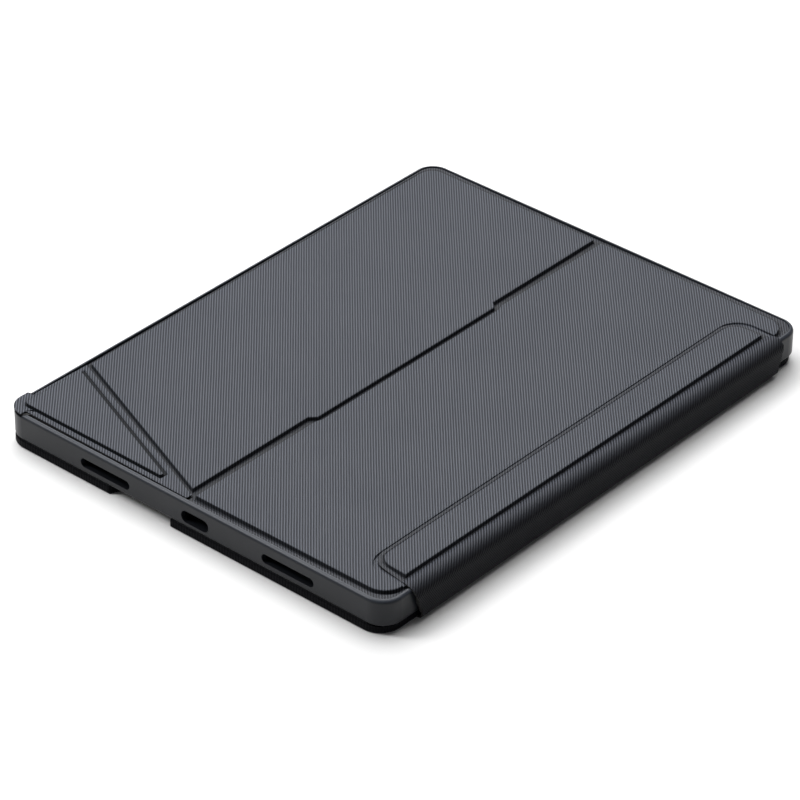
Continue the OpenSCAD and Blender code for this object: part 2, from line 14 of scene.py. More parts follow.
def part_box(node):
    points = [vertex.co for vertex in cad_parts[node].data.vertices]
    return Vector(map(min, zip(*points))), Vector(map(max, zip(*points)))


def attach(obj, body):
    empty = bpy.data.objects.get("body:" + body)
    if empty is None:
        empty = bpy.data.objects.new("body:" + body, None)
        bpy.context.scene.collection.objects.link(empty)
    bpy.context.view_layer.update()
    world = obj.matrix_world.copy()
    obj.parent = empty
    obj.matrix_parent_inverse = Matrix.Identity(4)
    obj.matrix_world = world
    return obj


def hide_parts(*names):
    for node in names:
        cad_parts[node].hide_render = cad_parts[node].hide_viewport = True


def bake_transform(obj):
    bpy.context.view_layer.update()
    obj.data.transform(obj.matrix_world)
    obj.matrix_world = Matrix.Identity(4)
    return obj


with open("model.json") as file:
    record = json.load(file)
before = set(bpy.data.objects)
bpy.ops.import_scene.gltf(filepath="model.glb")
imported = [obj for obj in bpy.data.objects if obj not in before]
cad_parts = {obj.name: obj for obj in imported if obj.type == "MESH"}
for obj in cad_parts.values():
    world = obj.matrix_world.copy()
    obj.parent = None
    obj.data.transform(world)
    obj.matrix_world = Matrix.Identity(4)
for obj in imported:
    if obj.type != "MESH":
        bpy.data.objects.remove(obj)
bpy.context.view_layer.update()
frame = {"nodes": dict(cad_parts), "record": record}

MM = 0.001


# ---------------------------------------------------------------- sizes from the frame

def box_mm(node):
    """Lowest and highest corner of a CAD node, in millimetres."""
    low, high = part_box(node)
    return low / MM, high / MM


near_low, near_high = box_mm("near_skin")
near_pad_high = box_mm("near_pad")[1]
far_low = box_mm("far_skin")[0]
flap_low, flap_high = box_mm("flap_skin")
flap_board_low, flap_board_high = box_mm("flap_board")
flap_lining_low = box_mm("flap_lining")[0]
spine_low, spine_high = box_mm("spine_skin")
shell_low, shell_high = box_mm("tablet_shell")
lining_low, lining_high = box_mm("far_lining")

PAD_T = 1.0
SKIN_T = 0.6
GLUE_T = 0.3
COVER_Z = near_high.z
MARGIN_Z = COVER_Z - PAD_T
FLOOR_Z = lining_low.z - GLUE_T
PLATE_X = near_pad_high.x + SKIN_T

# The fold between the near half and the kickstand, and the corner's fold
FOLD_EDGE_NEAR = -1.75
FOLD_EDGE_FAR = -2.05
FOLD_STEP_LOW_X = -63
FOLD_STEP_HIGH_X = 60
FOLD_STEP_RUN = 3
FOLD_Z = 17.95
CORNER_HINGE = Vector((134.6, -5.2, FOLD_Z))
DIAGONAL = math.radians(22)
DIAGONAL_ALONG = Vector((math.sin(DIAGONAL), math.cos(DIAGONAL)))
DIAGONAL_ACROSS = Vector((math.cos(DIAGONAL), -math.sin(DIAGONAL)))
CORNER_LIFT = math.radians(1.6)
VALLEY_DEPTH = 0.75
VALLEY_Z = MARGIN_Z - VALLEY_DEPTH

# Meshing
LEAST_R = 0.05
WELD = 0.002
SHARP_ANGLE = math.radians(35)


def diagonal_x(y, shift):
    """X where the line of the corner's fold, moved by shift towards the corner, crosses y."""
    start = CORNER_HINGE.xy + DIAGONAL_ACROSS * shift
    return start.x + (y - start.y) * math.tan(DIAGONAL)


# ---------------------------------------------------------------- mesh tools

def outline(corners, inset=0.0):
    """Closed counter-clockwise outline through corners (x, y, radius, steps), moved inwards by inset."""
    points = []
    for i, (x, y, radius, steps) in enumerate(corners):
        here = Vector((x, y))
        into = (here - Vector(corners[i - 1][:2])).normalized()
        out = (Vector(corners[(i + 1) % len(corners)][:2]) - here).normalized()
        turn = math.atan2(into.x * out.y - into.y * out.x, into.dot(out))
        left_in = Vector((-into.y, into.x))
        left_out = Vector((-out.y, out.x))
        tip = here + (left_in + left_out) * inset / (1 + left_in.dot(left_out))
        if not steps:
            points.append(tip)
            continue
        side = math.copysign(1, turn)
        arc_r = max(radius - side * inset, LEAST_R)
        start = tip - into * arc_r * math.tan(abs(turn) / 2)
        centre = start + left_in * arc_r * side
        for k in range(steps + 1):
            points.append(centre + Matrix.Rotation(turn * k / steps, 2) @ (start - centre))
    return points


def kept_inside(points, planes):
    """Points moved back behind each plane (normal, distance)."""
    moved = []
    for point in points:
        for normal, distance in planes:
            point = point - normal * max(point.dot(normal) - distance, 0.0)
        moved.append(point)
    return moved


def add_piece(name, vertices, faces, materials, picks, uvs):
    """Mesh object from millimetre vertices.

    picks gives each face's place in materials, and uvs each vertex's pair of millimetre coordinates.
    """
    mesh = bpy.data.meshes.new(name)
    mesh.from_pydata([Vector(v) * MM for v in vertices], [], faces)
    for material in materials:
        mesh.materials.append(material)
    mesh.polygons.foreach_set("material_index", picks)
    layer = mesh.uv_layers.new(name="unrolled")
    for loop in mesh.loops:
        u, v = uvs[loop.vertex_index]
        layer.data[loop.index].uv = (u * MM, v * MM)
    mesh.update()
    work = bmesh.new()
    work.from_mesh(mesh)
    bmesh.ops.remove_doubles(work, verts=work.verts, dist=WELD * MM)
    bmesh.ops.dissolve_degenerate(work, edges=work.edges, dist=WELD / 2 * MM)
    bmesh.ops.recalc_face_normals(work, faces=work.faces)
    work.to_mesh(mesh)
    work.free()
    mesh.polygons.foreach_set("use_smooth", [True] * len(mesh.polygons))
    mesh.set_sharp_from_angle(angle=SHARP_ANGLE)
    piece = bpy.data.objects.new(name, mesh)
    bpy.context.scene.collection.objects.link(piece)
    return piece


def loft(name, rings, materials, bands=None, place=None):
    """Closed solid through rings of (points, heights).

    bands gives the material of each band, then of both caps. place moves the solid, in metres.
    """
    count = len(rings[0][0])
    vertices = [(p.x, p.y, z) for points, heights in rings for p, z in zip(points, heights)]
    uvs = [v[:2] for v in vertices]
    faces = []
    for band in range(len(rings) - 1):
        for i in range(count):
            j = (i + 1) % count
            low = band * count
            faces.append((low + i, low + j, low + count + j, low + count + i))
    faces.append(tuple(reversed(range(count))))
    faces.append(tuple(range((len(rings) - 1) * count, len(rings) * count)))
    bands = bands or [0] * (len(rings) + 1)
    picks = [pick for pick in bands[:-2] for _ in range(count)] + list(bands[-2:])
    if place:
        vertices = [place @ (Vector(v) * MM) / MM for v in vertices]
    return add_piece(name, vertices, faces, materials, picks, uvs)


# Rings across a plate's cover, as insets from an outline. The groove's depths are shares of its depth,
# and the plate's heights are shares of its rise over the margin.
GROOVE_INSETS = {"narrow": (-1.1, -0.9, -0.65, -0.4, -0.15), "wide": (-1.9, -1.5, -0.95, -0.5, -0.15)}
GROOVE_DEPTHS = (0.0, 0.2, 0.8, 1.0, 0.95)
PLATE_RINGS = ((0.0, -0.2), (0.06, 0.35), (0.16, 0.72), (0.36, 0.92), (0.7, 0.985), (1.2, 1.0), (1.6, 1.0))
# Share of its height that a ring keeps over the bottom of a fold
SUNK_SHARE = 0.03
# Materials of a plated cover, by their place in its list
PLATE, EDGE, GROOVE, MARGIN = range(4)


def plated(name, edge, plate, bottom_z, margin_z, top_z, planes=(), sunk=(), sunk_z=0.0, place=None,
           groove=0.9, groove_w="wide", soft=1.0, lower=None, channel=None, skins=None):
    """Skin over a board with a raised plate: rounded rim, flat margin, pressed groove and plate edge.

    The groove stays behind the planes. Margin past the sunk planes drops to sunk_z, a fold's bottom.
    soft scales the rounding of the plate's edge. lower is the outline below the skin, and channel the
    groove's outline, where they aren't the skin's and the plate's own. skins are the materials of the
    margin, the plate and the groove; by default the margin and the groove, with the plate's edge wall,
    take darker copies of the ribbed skin, which are painted shade.
    """
    under_skin = margin_z - SKIN_T
    lower_rim = [(outline(lower or edge, inset), z) for inset, z in (
        (0.3, bottom_z), (0.0, bottom_z + 0.25), (0.0, under_skin))]
    upper_rim = [(outline(edge, inset), z) for inset, z in (
        (0.0, under_skin + 0.01), (0.0, margin_z - 0.3), (0.09, margin_z - 0.09), (0.3, margin_z))]
    pressed = [(kept_inside(outline(channel or plate, inset), planes), margin_z - depth * groove)
               for inset, depth in zip(GROOVE_INSETS[groove_w], GROOVE_DEPTHS)]
    raised = [(kept_inside(outline(plate, soft * inset), planes), margin_z + share * (top_z - margin_z))
              for inset, share in PLATE_RINGS]
    rings = [(points, [height_near_fold(point, z, sunk, sunk_z) for point in points])
             for points, z in lower_rim + upper_rim + pressed]
    rings += [(points, [z] * len(points)) for points, z in raised]
    bands = [EDGE] * 4 + [MARGIN] * 5 + [GROOVE] * 5 + [PLATE] * (len(raised) - 3) + [EDGE, PLATE]
    margin_skin, plate_skin, groove_skin = skins or (margin_ribs_painted_shade, ribs, groove_ribs_painted_shade)
    piece = loft(name, rings, [plate_skin, cut_edge, groove_skin, margin_skin], bands, place)
    # Painted shade: margin sunk into a fold takes the darker groove skin
    if sunk:
        for face in piece.data.polygons:
            if face.material_index == MARGIN and face.center.z < (sunk_z + 0.2) * MM:
                face.material_index = GROOVE
    return piece


def height_near_fold(point, z, sunk, sunk_z):
    """z, or a height just over sunk_z for a point past any sunk plane (normal, distance)."""
    past = any(point.dot(normal) > distance for normal, distance in sunk)
    return min(z, sunk_z + SUNK_SHARE * (z - sunk_z)) if past else z


def level_rings(corners, steps):
    """Rings of loft() at one height each, from steps of (inset, z)."""
    rings = [(outline(corners, inset), z) for inset, z in steps]
    return [(points, [z] * len(points)) for points, z in rings]


def carve(piece, cutter):
    """Cuts cutter out of piece, and removes cutter. Flat faces are shaded flat right up to the cut."""
    cut = piece.modifiers.new("cut", "BOOLEAN")
    cut.operation = "DIFFERENCE"
    cut.solver = "EXACT"
    cut.object = cutter
    flat = piece.modifiers.new("flat", "WEIGHTED_NORMAL")
    flat.keep_sharp = True
    graph = bpy.context.evaluated_depsgraph_get()
    mesh = bpy.data.meshes.new_from_object(piece.evaluated_get(graph))
    piece.modifiers.clear()
    piece.data = mesh
    bpy.data.objects.remove(cutter)
    return piece


def sheet(name, profile, half_length, materials, steps=60, place=None):
    """Bent sheet along X. profile holds (outer y, outer z, inner y, inner z, unrolled length)."""
    vertices, uvs, faces, picks = [], [], [], []
    columns = steps + 1
    for oy, oz, iy, iz, along in profile:
        half = half_length(along)
        for side in (0, 1):
            y, z = ((oy, oz), (iy, iz))[side]
            for k in range(columns):
                x = half * (2 * k / steps - 1)
                vertices.append((x, y, z))
                uvs.append((x, along))
    rows = len(profile)

    def at(row, side, k):
        return (row * 2 + side) * columns + k

    for row in range(rows - 1):
        for k in range(steps):
            faces.append((at(row, 0, k), at(row, 0, k + 1), at(row + 1, 0, k + 1), at(row + 1, 0, k)))
            picks.append(0)
            faces.append((at(row, 1, k + 1), at(row, 1, k), at(row + 1, 1, k), at(row + 1, 1, k + 1)))
            picks.append(1)
        for k in (0, steps):
            faces.append((at(row, 0, k), at(row + 1, 0, k), at(row + 1, 1, k), at(row, 1, k)))
            picks.append(2)
    for row in (0, rows - 1):
        for k in range(steps):
            faces.append((at(row, 0, k), at(row, 0, k + 1), at(row, 1, k + 1), at(row, 1, k)))
            picks.append(2)
    if place:
        vertices = [place @ (Vector(v) * MM) / MM for v in vertices]
        uvs = [v[:2] for v in vertices]
    return add_piece(name, vertices, faces, materials, picks, uvs)


def islands(node):
    """Lowest and highest corner of each separate solid in a CAD node, in millimetres."""
    work = bmesh.new()
    work.from_mesh(frame["nodes"][node].data)
    bmesh.ops.remove_doubles(work, verts=work.verts, dist=0.01 * MM)
    waiting, found = set(work.verts), []
    while waiting:
        group, front = set(), [waiting.pop()]
        while front:
            vert = front.pop()
            group.add(vert)
            for edge in vert.link_edges:
                other = edge.other_vert(vert)
                if other in waiting:
                    waiting.discard(other)
                    front.append(other)
        places = [v.co / MM for v in group]
        found.append(([min(p[i] for p in places) for i in range(3)],
                      [max(p[i] for p in places) for i in range(3)]))
    work.free()
    return sorted(found)


def joined(name, pieces):
    """One object from one or more."""
    if len(pieces) > 1:
        with bpy.context.temp_override(active_object=pieces[0], selected_editable_objects=pieces):
            bpy.ops.object.join()
    pieces[0].name = name
    return pieces[0]


# ---------------------------------------------------------------- materials

class Nodes:
    """Short calls for building one node material."""

    def __init__(self, name):
        self.material = bpy.data.materials.new(name)
        self.material.use_nodes = True
        self.tree = self.material.node_tree
        self.shader = self.tree.nodes["Principled BSDF"]

    def add(self, kind, **settings):
        node = self.tree.nodes.new(kind)
        for key, value in settings.items():
            setattr(node, key, value)
        return node

    def link(self, source, target):
        self.tree.links.new(source, target)

    def put(self, value, socket):
        """Links a socket, or sets a plain value."""
        if isinstance(value, bpy.types.NodeSocket):
            self.link(value, socket)
        else:
            socket.default_value = value

    def math(self, operation, a, b=0.0, clamp=False):
        node = self.add("ShaderNodeMath", operation=operation, use_clamp=clamp)
        self.put(a, node.inputs[0])
        self.put(b, node.inputs[1])
        return node.outputs[0]

    def mix(self, share, first, second):
        """Colour between two colours."""
        node = self.add("ShaderNodeMix", data_type="RGBA")
        colour_a, colour_b = [socket for socket in node.inputs if socket.type == "RGBA"]
        self.put(share, node.inputs["Factor"])
        self.put(first, colour_a)
        self.put(second, colour_b)
        return next(socket for socket in node.outputs if socket.type == "RGBA")

    def coordinates(self, unrolled=False):
        """Place on the surface in metres: the unrolled sheet's, or the frame's."""
        if unrolled:
            return self.add("ShaderNodeUVMap", uv_map="unrolled").outputs[0]
        return self.add("ShaderNodeTexCoord").outputs["Object"]

    def noise(self, place, scale, detail=2.0, roughness=0.5):
        node = self.add("ShaderNodeTexNoise")
        self.put(place, node.inputs["Vector"])
        node.inputs["Scale"].default_value = scale
        node.inputs["Detail"].default_value = detail
        node.inputs["Roughness"].default_value = roughness
        return node.outputs[0]

    def ramp(self, value, low, high):
        """0 below low, 1 above high, and even between."""
        node = self.add("ShaderNodeMapRange", clamp=True)
        self.put(value, node.inputs["Value"])
        node.inputs["From Min"].default_value = low
        node.inputs["From Max"].default_value = high
        return node.outputs[0]

    def bump(self, height, depth, strength=1.0):
        node = self.add("ShaderNodeBump")
        node.inputs["Strength"].default_value = strength
        node.inputs["Distance"].default_value = depth
        self.put(height, node.inputs["Height"])
        self.link(node.outputs[0], self.shader.inputs["Normal"])

    def finish(self, colour, roughness, **plain):
        """The material, with plain values for the sockets named by the keys of SOCKETS."""
        self.put(colour, self.shader.inputs["Base Color"])
        self.put(roughness, self.shader.inputs["Roughness"])
        for key, value in plain.items():
            self.shader.inputs[SOCKETS[key]].default_value = value
        return self.material


SOCKETS = {"gloss": "Specular IOR Level", "metallic": "Metallic",
           "sheen": "Sheen Weight", "sheen_roughness": "Sheen Roughness"}


def scaled(colour, share):
    """Opaque colour, share times as bright."""
    return tuple(share * c for c in colour[:3]) + (1.0,)


def grey(value, blue=0.0):
    """Opaque grey, tinted towards blue."""
    return (value, value * (1 + 0.3 * blue), value * (1 + blue), 1.0)


RIB_PITCH = 1.166
RIB_ANGLE = math.radians(42)
RIB_DEPTH = 0.16


def rib_skin(name, light, dark, roughness=0.5, gloss=0.22, fade=None, unrolled=True):
    """Imitation leather pressed with fine parallel ribs and a short cross grain.

    light is the colour of the ribs and dark that between them, as (red, green, blue). fade (axis, from,
    to, share) darkens it along one axis of its coordinates, in millimetres, as painted shade.
    """
    light, dark = scaled(light, 1), scaled(dark, 1)
    n = Nodes(name)
    place = n.coordinates(unrolled)
    parts = n.add("ShaderNodeSeparateXYZ")
    n.link(place, parts.inputs[0])
    turn = 2 * math.pi / (RIB_PITCH * MM)
    across = n.math("ADD", n.math("MULTIPLY", parts.outputs[0], turn * math.sin(RIB_ANGLE)),
                    n.math("MULTIPLY", parts.outputs[1], -turn * math.cos(RIB_ANGLE)))
    waver = n.math("MULTIPLY", n.noise(place, 60, 3), 0.9)
    wave = n.math("SINE", n.math("ADD", across, waver))
    height = n.ramp(wave, -0.75, 0.55)
    grain = n.noise(place, 2600, 3, 0.6)
    blotch = n.noise(place, 26, 3, 0.55)
    lit = n.mix(n.math("MULTIPLY", blotch, 0.5), light, scaled(light, 0.82))
    colour = n.mix(height, dark, lit)
    speck = n.ramp(grain, 0.52, 0.8)
    colour = n.mix(n.math("MULTIPLY", speck, 0.35), colour, scaled(light, 1.5))
    # Painted shade, darker along one axis
    if fade:
        axis, start, end, share = fade
        shaded = n.math("MULTIPLY", n.ramp(parts.outputs[axis], start * MM, end * MM), share)
        colour = n.mix(shaded, colour, dark)
    n.bump(n.math("ADD", height, n.math("MULTIPLY", grain, 0.35)), RIB_DEPTH * MM)
    rough = n.math("ADD", n.math("MULTIPLY", blotch, 0.12), roughness - 0.06)
    return n.finish(colour, rough, gloss=gloss)


# Painted highlight along the top of the shell's rounded rim: its height band and pale tone
CREST_H = 1.3
HIGHLIGHT_H = 0.9
PAINTED_HIGHLIGHT_TONE = grey(0.045, 0.45)


def moulded(name, colour, roughness=0.5, grain_size=0.35, depth=0.012, mottle=0.1, gloss=0.5, crest_z=None):
    """Moulded plastic with a fine spark-eroded grain and faint handling marks.

    Above crest_z, a rounded edge gets a pale painted highlight, broken up by the grain. Grain size,
    depth and crest_z are in millimetres.
    """
    colour = scaled(colour, 1)
    n = Nodes(name)
    place = n.coordinates()
    grain = n.noise(place, 1 / (grain_size * MM), 2, 0.6)
    broad = n.noise(place, 18, 4, 0.6)
    dull = scaled(colour, 1 - 2 * mottle)
    n.bump(grain, depth * MM)
    tone = n.mix(n.ramp(broad, 0.35, 0.7), colour, dull)
    if crest_z:
        parts = n.add("ShaderNodeSeparateXYZ")
        n.link(place, parts.inputs[0])
        # Painted highlight, broken up by the grain
        painted_highlight = n.math("MULTIPLY", n.ramp(parts.outputs[2], crest_z * MM, (crest_z + HIGHLIGHT_H) * MM),
                      n.ramp(grain, -0.2, 0.7))
        tone = n.mix(painted_highlight, tone, PAINTED_HIGHLIGHT_TONE)
    rough = n.math("ADD", n.math("MULTIPLY", broad, 0.14), roughness - 0.07)
    return n.finish(tone, rough, gloss=gloss)


def microfibre(name, colour):
    """Short-napped lining, brushed in patches."""
    n = Nodes(name)
    place = n.coordinates()
    fibre = n.noise(place, 2200, 4, 0.7)
    tufts = n.ramp(n.noise(place, 420, 3, 0.65), 0.35, 0.65)
    brushed = n.ramp(n.noise(place, 32, 4, 0.6), 0.35, 0.65)
    pale = scaled(colour, 2.4)
    nap = n.math("ADD", n.math("MULTIPLY", fibre, 0.3), n.math("MULTIPLY", tufts, 0.35))
    share = n.math("ADD", nap, n.math("MULTIPLY", brushed, 0.35), True)
    n.bump(n.math("ADD", fibre, tufts), 0.1 * MM)
    return n.finish(n.mix(share, colour, pale), 0.95, gloss=0.2, sheen=0.1, sheen_roughness=0.5)


def metal(name, colour, roughness, brushed=True):
    """Plated metal with fine marks, drawn out where it is brushed."""
    n = Nodes(name)
    place = n.coordinates()
    mapping = n.add("ShaderNodeMapping")
    mapping.inputs["Scale"].default_value = (1, 12 if brushed else 1, 1)
    n.link(place, mapping.inputs[0])
    marks = n.noise(mapping.outputs[0], 900, 3, 0.6)
    n.bump(marks, 0.01 * MM)
    tone = n.mix(n.ramp(marks, 0.35, 0.7), colour, scaled(colour, 0.72))
    return n.finish(tone, n.math("ADD", n.math("MULTIPLY", marks, 0.2), roughness - 0.1), metallic=1.0)


ribs = rib_skin("ribbed_skin", (0.091, 0.099, 0.120), (0.008, 0.010, 0.015))
# Painted shade: a darker copy of the ribbed skin for the margins round the plates
margin_ribs_painted_shade = rib_skin("margin_ribbed_skin_painted_shade", (0.057, 0.061, 0.073), (0.006, 0.007, 0.010))
# Painted shade: a darker copy of the ribbed skin for the grooves, the plates' edge walls and the bottoms of
# folds
groove_ribs_painted_shade = rib_skin("groove_ribbed_skin_painted_shade", (0.036, 0.039, 0.047), (0.006, 0.007, 0.009))
# Painted shade: a very dark copy of the ribbed skin for the flap's bed and the corner's channel
deep_groove_ribs_painted_shade = rib_skin("deep_groove_ribbed_skin_painted_shade", (0.017, 0.019, 0.023), (0.004, 0.005, 0.006), 0.55, gloss=0.1)
# Painted shade: the spine's skin is a darker copy of the ribbed skin, darkening further round its bend
spine_ribs_painted_shade = rib_skin("spine_ribbed_skin_painted_shade", (0.078, 0.084, 0.102), (0.003, 0.0035, 0.0055),
                      gloss=0.1, fade=(1, 107, 113.5, 0.96))
# Painted shade: the base's skin is a darker copy of the ribbed skin, darkening above the face that it
# stands on
base_ribs_painted_shade = rib_skin("base_ribbed_skin_painted_shade", (0.030, 0.033, 0.040), (0.002, 0.002, 0.003), 0.6,
                     gloss=0.05, fade=(2, 0.3, 1.2, 0.92), unrolled=False)
cut_edge = moulded("cut_edge", grey(0.012), 0.75, grain_size=0.2, depth=0.03)
# The shell's rim carries a painted highlight above crest_z
shell_plastic = moulded("shell_plastic", grey(0.0105, 0.45), 0.34, grain_size=0.3, depth=0.006,
                        gloss=0.26, crest_z=shell_high.z - CREST_H)
deck_plastic = moulded("deck_plastic", grey(0.030, 0.12), 0.55, grain_size=0.3, gloss=0.3)
key_plastic = moulded("key_plastic", grey(0.009, 0.3), 0.4, grain_size=0.25, depth=0.006, gloss=0.4)
lining = microfibre("lining", grey(0.016, 0.2))
steel = metal("nickel_plate", grey(0.62), 0.3)
foil = metal("foil", grey(0.66), 0.35, brushed=False)
film = moulded("printed_film", grey(0.22, 0.05), 0.35, grain_size=0.6, depth=0.004)
silicone = moulded("silicone", grey(0.6), 0.55, grain_size=0.5, depth=0.01)
solder_mask = moulded("solder_mask", (0.012, 0.09, 0.035), 0.3, grain_size=0.8, depth=0.01, mottle=0.2)
light_guide = moulded("light_guide", grey(0.75), 0.2, grain_size=0.5, depth=0.004)
switch_plastic = moulded("switch_plastic", grey(0.07), 0.45, grain_size=0.2, depth=0.01)
grey_board = moulded("grey_board", (0.2, 0.16, 0.12), 0.9, grain_size=0.5, depth=0.05)


def paint(material, *nodes):
    """Gives CAD nodes that stay in view their material."""
    for name in nodes:
        mesh = frame["nodes"][name].data
        mesh.materials.clear()
        mesh.materials.append(material)


paint(shell_plastic, "tablet_shell")
paint(base_ribs_painted_shade, "base_skin")
paint(lining, "shell_lining", "base_lining", "far_lining", "corner_lining")
paint(deck_plastic, "keyboard_tray", "keyboard_deck", "power_switch_case")
paint(steel, "deck_screws", "charge_socket", "base_magnets", "shell_magnets", "far_magnets",
      "corner_magnet")
paint(foil, "battery")
paint(solder_mask, "circuit_board")
paint(film, "key_membrane")
paint(silicone, "rubber_domes")
paint(switch_plastic, "power_switch")
paint(light_guide, "status_light")
paint(grey_board, "base_board")


# ---------------------------------------------------------------- the ribbed cover

def stepped(outer_y, middle_y):
    """Corners along a fold that steps to middle_y over its middle part, from -X to +X."""
    run = FOLD_STEP_RUN / 2
    return [(FOLD_STEP_LOW_X - run, outer_y, 0, 0), (FOLD_STEP_LOW_X + run, middle_y, 0, 0),
            (FOLD_STEP_HIGH_X - run, middle_y, 0, 0), (FOLD_STEP_HIGH_X + run, outer_y, 0, 0)]


# Steps round a wide corner and a small one
ROUND = 10
SOFT = 4
# How far a groove stays behind the edge of its cover at a fold
FOLD_LIP = 0.32
TOWARDS_NEAR = Vector((0, 1))
TOWARDS_FAR = Vector((0, -1))

# The near half, with the bed that the spine's flap is glued into
NEAR_R = 8
NEAR_PLATE_R = 9.6
NEAR_PLATE_LOW_Y = -1.3
NEAR_PLATE_STEP_Y = -0.1
NEAR_PLATE_HIGH_Y = near_pad_high.y + SKIN_T
NEAR_SUNK = 0.85
near_edge = [(near_low.x, FOLD_EDGE_NEAR, 0, 0), *stepped(FOLD_EDGE_NEAR, FOLD_EDGE_NEAR),
             (near_high.x, FOLD_EDGE_NEAR, 0, 0), (near_high.x, near_high.y, NEAR_R, ROUND),
             (near_low.x, near_high.y, NEAR_R, ROUND)]
near_plate = [(-PLATE_X, NEAR_PLATE_LOW_Y, 0, 0), *stepped(NEAR_PLATE_LOW_Y, NEAR_PLATE_STEP_Y),
              (PLATE_X, NEAR_PLATE_LOW_Y, 0, 0), (PLATE_X, NEAR_PLATE_HIGH_Y, NEAR_PLATE_R, ROUND),
              (-PLATE_X, NEAR_PLATE_HIGH_Y, NEAR_PLATE_R, ROUND)]
near_cover = plated("near_cover", near_edge, near_plate, FLOOR_Z, MARGIN_Z, COVER_Z,
                    planes=[(TOWARDS_FAR, -FOLD_EDGE_NEAR - FOLD_LIP)],
                    sunk=[(TOWARDS_FAR, -FOLD_EDGE_NEAR - NEAR_SUNK)], sunk_z=VALLEY_Z)

BED_X = 127.3
BED_Y = flap_low.y - 0.6
BED_Z = flap_lining_low.z - 0.35
BED_R = 11
BED_END_Y = 130
bed = [(-BED_X, BED_Y, BED_R, ROUND), (BED_X, BED_Y, BED_R, ROUND),
       (BED_X, BED_END_Y, 0, 0), (-BED_X, BED_END_Y, 0, 0)]
# The bed's cutter is given the very dark skin of painted shade
carve(near_cover, loft("bed", level_rings(bed, (
    (0.3, BED_Z), (0.15, BED_Z + 0.06), (0.0, COVER_Z - 0.2), (-0.12, COVER_Z - 0.06),
    (-0.35, COVER_Z + 0.01), (-0.35, COVER_Z + 2))), [deep_groove_ribs_painted_shade]))
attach(near_cover, "shell")
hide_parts("near_skin", "near_pad", "near_board")

# The kickstand
FAR_R = 7.8
FAR_PLATE_R = 7.6
FAR_PLATE_LOW_Y = -106.0
FAR_PLATE_HIGH_Y = -5.6
FAR_PLATE_STEP_Y = -2.45
FAR_EDGE_SHIFT = 1
FAR_SUNK = 0.8
DIAGONAL_AT = CORNER_HINGE.xy.dot(DIAGONAL_ACROSS)
DIAGONAL_SUNK = 0.15
far_edge = [(far_low.x, far_low.y, FAR_R, ROUND),
            (diagonal_x(far_low.y, FAR_EDGE_SHIFT), far_low.y, 0, 0),
            (diagonal_x(FOLD_EDGE_FAR, FAR_EDGE_SHIFT), FOLD_EDGE_FAR, 0, 0),
            *reversed(stepped(FOLD_EDGE_FAR, FOLD_EDGE_FAR)), (far_low.x, FOLD_EDGE_FAR, 0, 0)]
far_plate = [(-PLATE_X, FAR_PLATE_LOW_Y, FAR_PLATE_R, ROUND),
             (diagonal_x(FAR_PLATE_LOW_Y, 0), FAR_PLATE_LOW_Y, 0, 0),
             (diagonal_x(FAR_PLATE_HIGH_Y, 0), FAR_PLATE_HIGH_Y, 0, 0),
             *reversed(stepped(FAR_PLATE_HIGH_Y, FAR_PLATE_STEP_Y)), (-PLATE_X, FAR_PLATE_HIGH_Y, 0, 0)]
far_cover = plated("kickstand_cover", far_edge, far_plate, lining_high.z, MARGIN_Z, COVER_Z,
                   planes=[(TOWARDS_NEAR, FOLD_EDGE_FAR - FOLD_LIP),
                           (DIAGONAL_ACROSS, DIAGONAL_AT + FAR_EDGE_SHIFT - FOLD_LIP)],
                   sunk=[(TOWARDS_NEAR, FAR_PLATE_HIGH_Y - FAR_SUNK),
                         (DIAGONAL_ACROSS, DIAGONAL_AT + DIAGONAL_SUNK)], sunk_z=VALLEY_Z)
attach(far_cover, "kickstand")
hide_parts("far_skin", "far_pad", "far_board")

# The loose corner, with the tab that reaches over the shell's corner
CORNER_X = 140.05
CORNER_Y = -107.75
CORNER_R = 7
CORNER_SHIFT = 1.6
CORNER_TIP_Y = -3.8
CORNER_BOARD_HIGH_Y = -16
TAB_X = shell_high.x
TAB_Y = shell_low.y
TAB_R = 9.8
TAB_SHOULDER_X = 128.6
TAB_SHOULDER_Y = -100.4
TAB_NECK_LOW_Y = -99
TAB_NECK_HIGH_Y = -97
SOFT_R = 0.5
TRIANGLE_SHIFT = 6.5
TRIANGLE_CHANNEL = 1.7
TRIANGLE_X = 136.4
TRIANGLE_LOW_Y = -104.8
TRIANGLE_HIGH_Y = -22.7
TRIANGLE_R = 2.0
corner_edge = [(diagonal_x(CORNER_Y, CORNER_SHIFT), CORNER_Y, 0, 0),
               (TAB_SHOULDER_X, CORNER_Y, 0, 0), (TAB_SHOULDER_X, TAB_Y, SOFT_R, SOFT),
               (TAB_X, TAB_Y, TAB_R, ROUND), (TAB_X, TAB_SHOULDER_Y, SOFT_R, SOFT),
               (CORNER_X, TAB_SHOULDER_Y, 0, 0), (CORNER_X, CORNER_TIP_Y, 0, 0),
               (diagonal_x(CORNER_TIP_Y, CORNER_SHIFT), CORNER_TIP_Y, 0, 0)]
corner_lower = [(diagonal_x(CORNER_Y, CORNER_SHIFT), CORNER_Y, 0, 0),
                (TAB_SHOULDER_X - 3, CORNER_Y, 0, 0), (TAB_SHOULDER_X, CORNER_Y, SOFT_R, SOFT),
                (CORNER_X, CORNER_Y, CORNER_R, ROUND), (CORNER_X, TAB_NECK_LOW_Y, SOFT_R, SOFT),
                (CORNER_X, TAB_NECK_HIGH_Y, 0, 0), (CORNER_X, CORNER_BOARD_HIGH_Y, 0, 0),
                (diagonal_x(CORNER_BOARD_HIGH_Y, CORNER_SHIFT), CORNER_BOARD_HIGH_Y, 0, 0)]


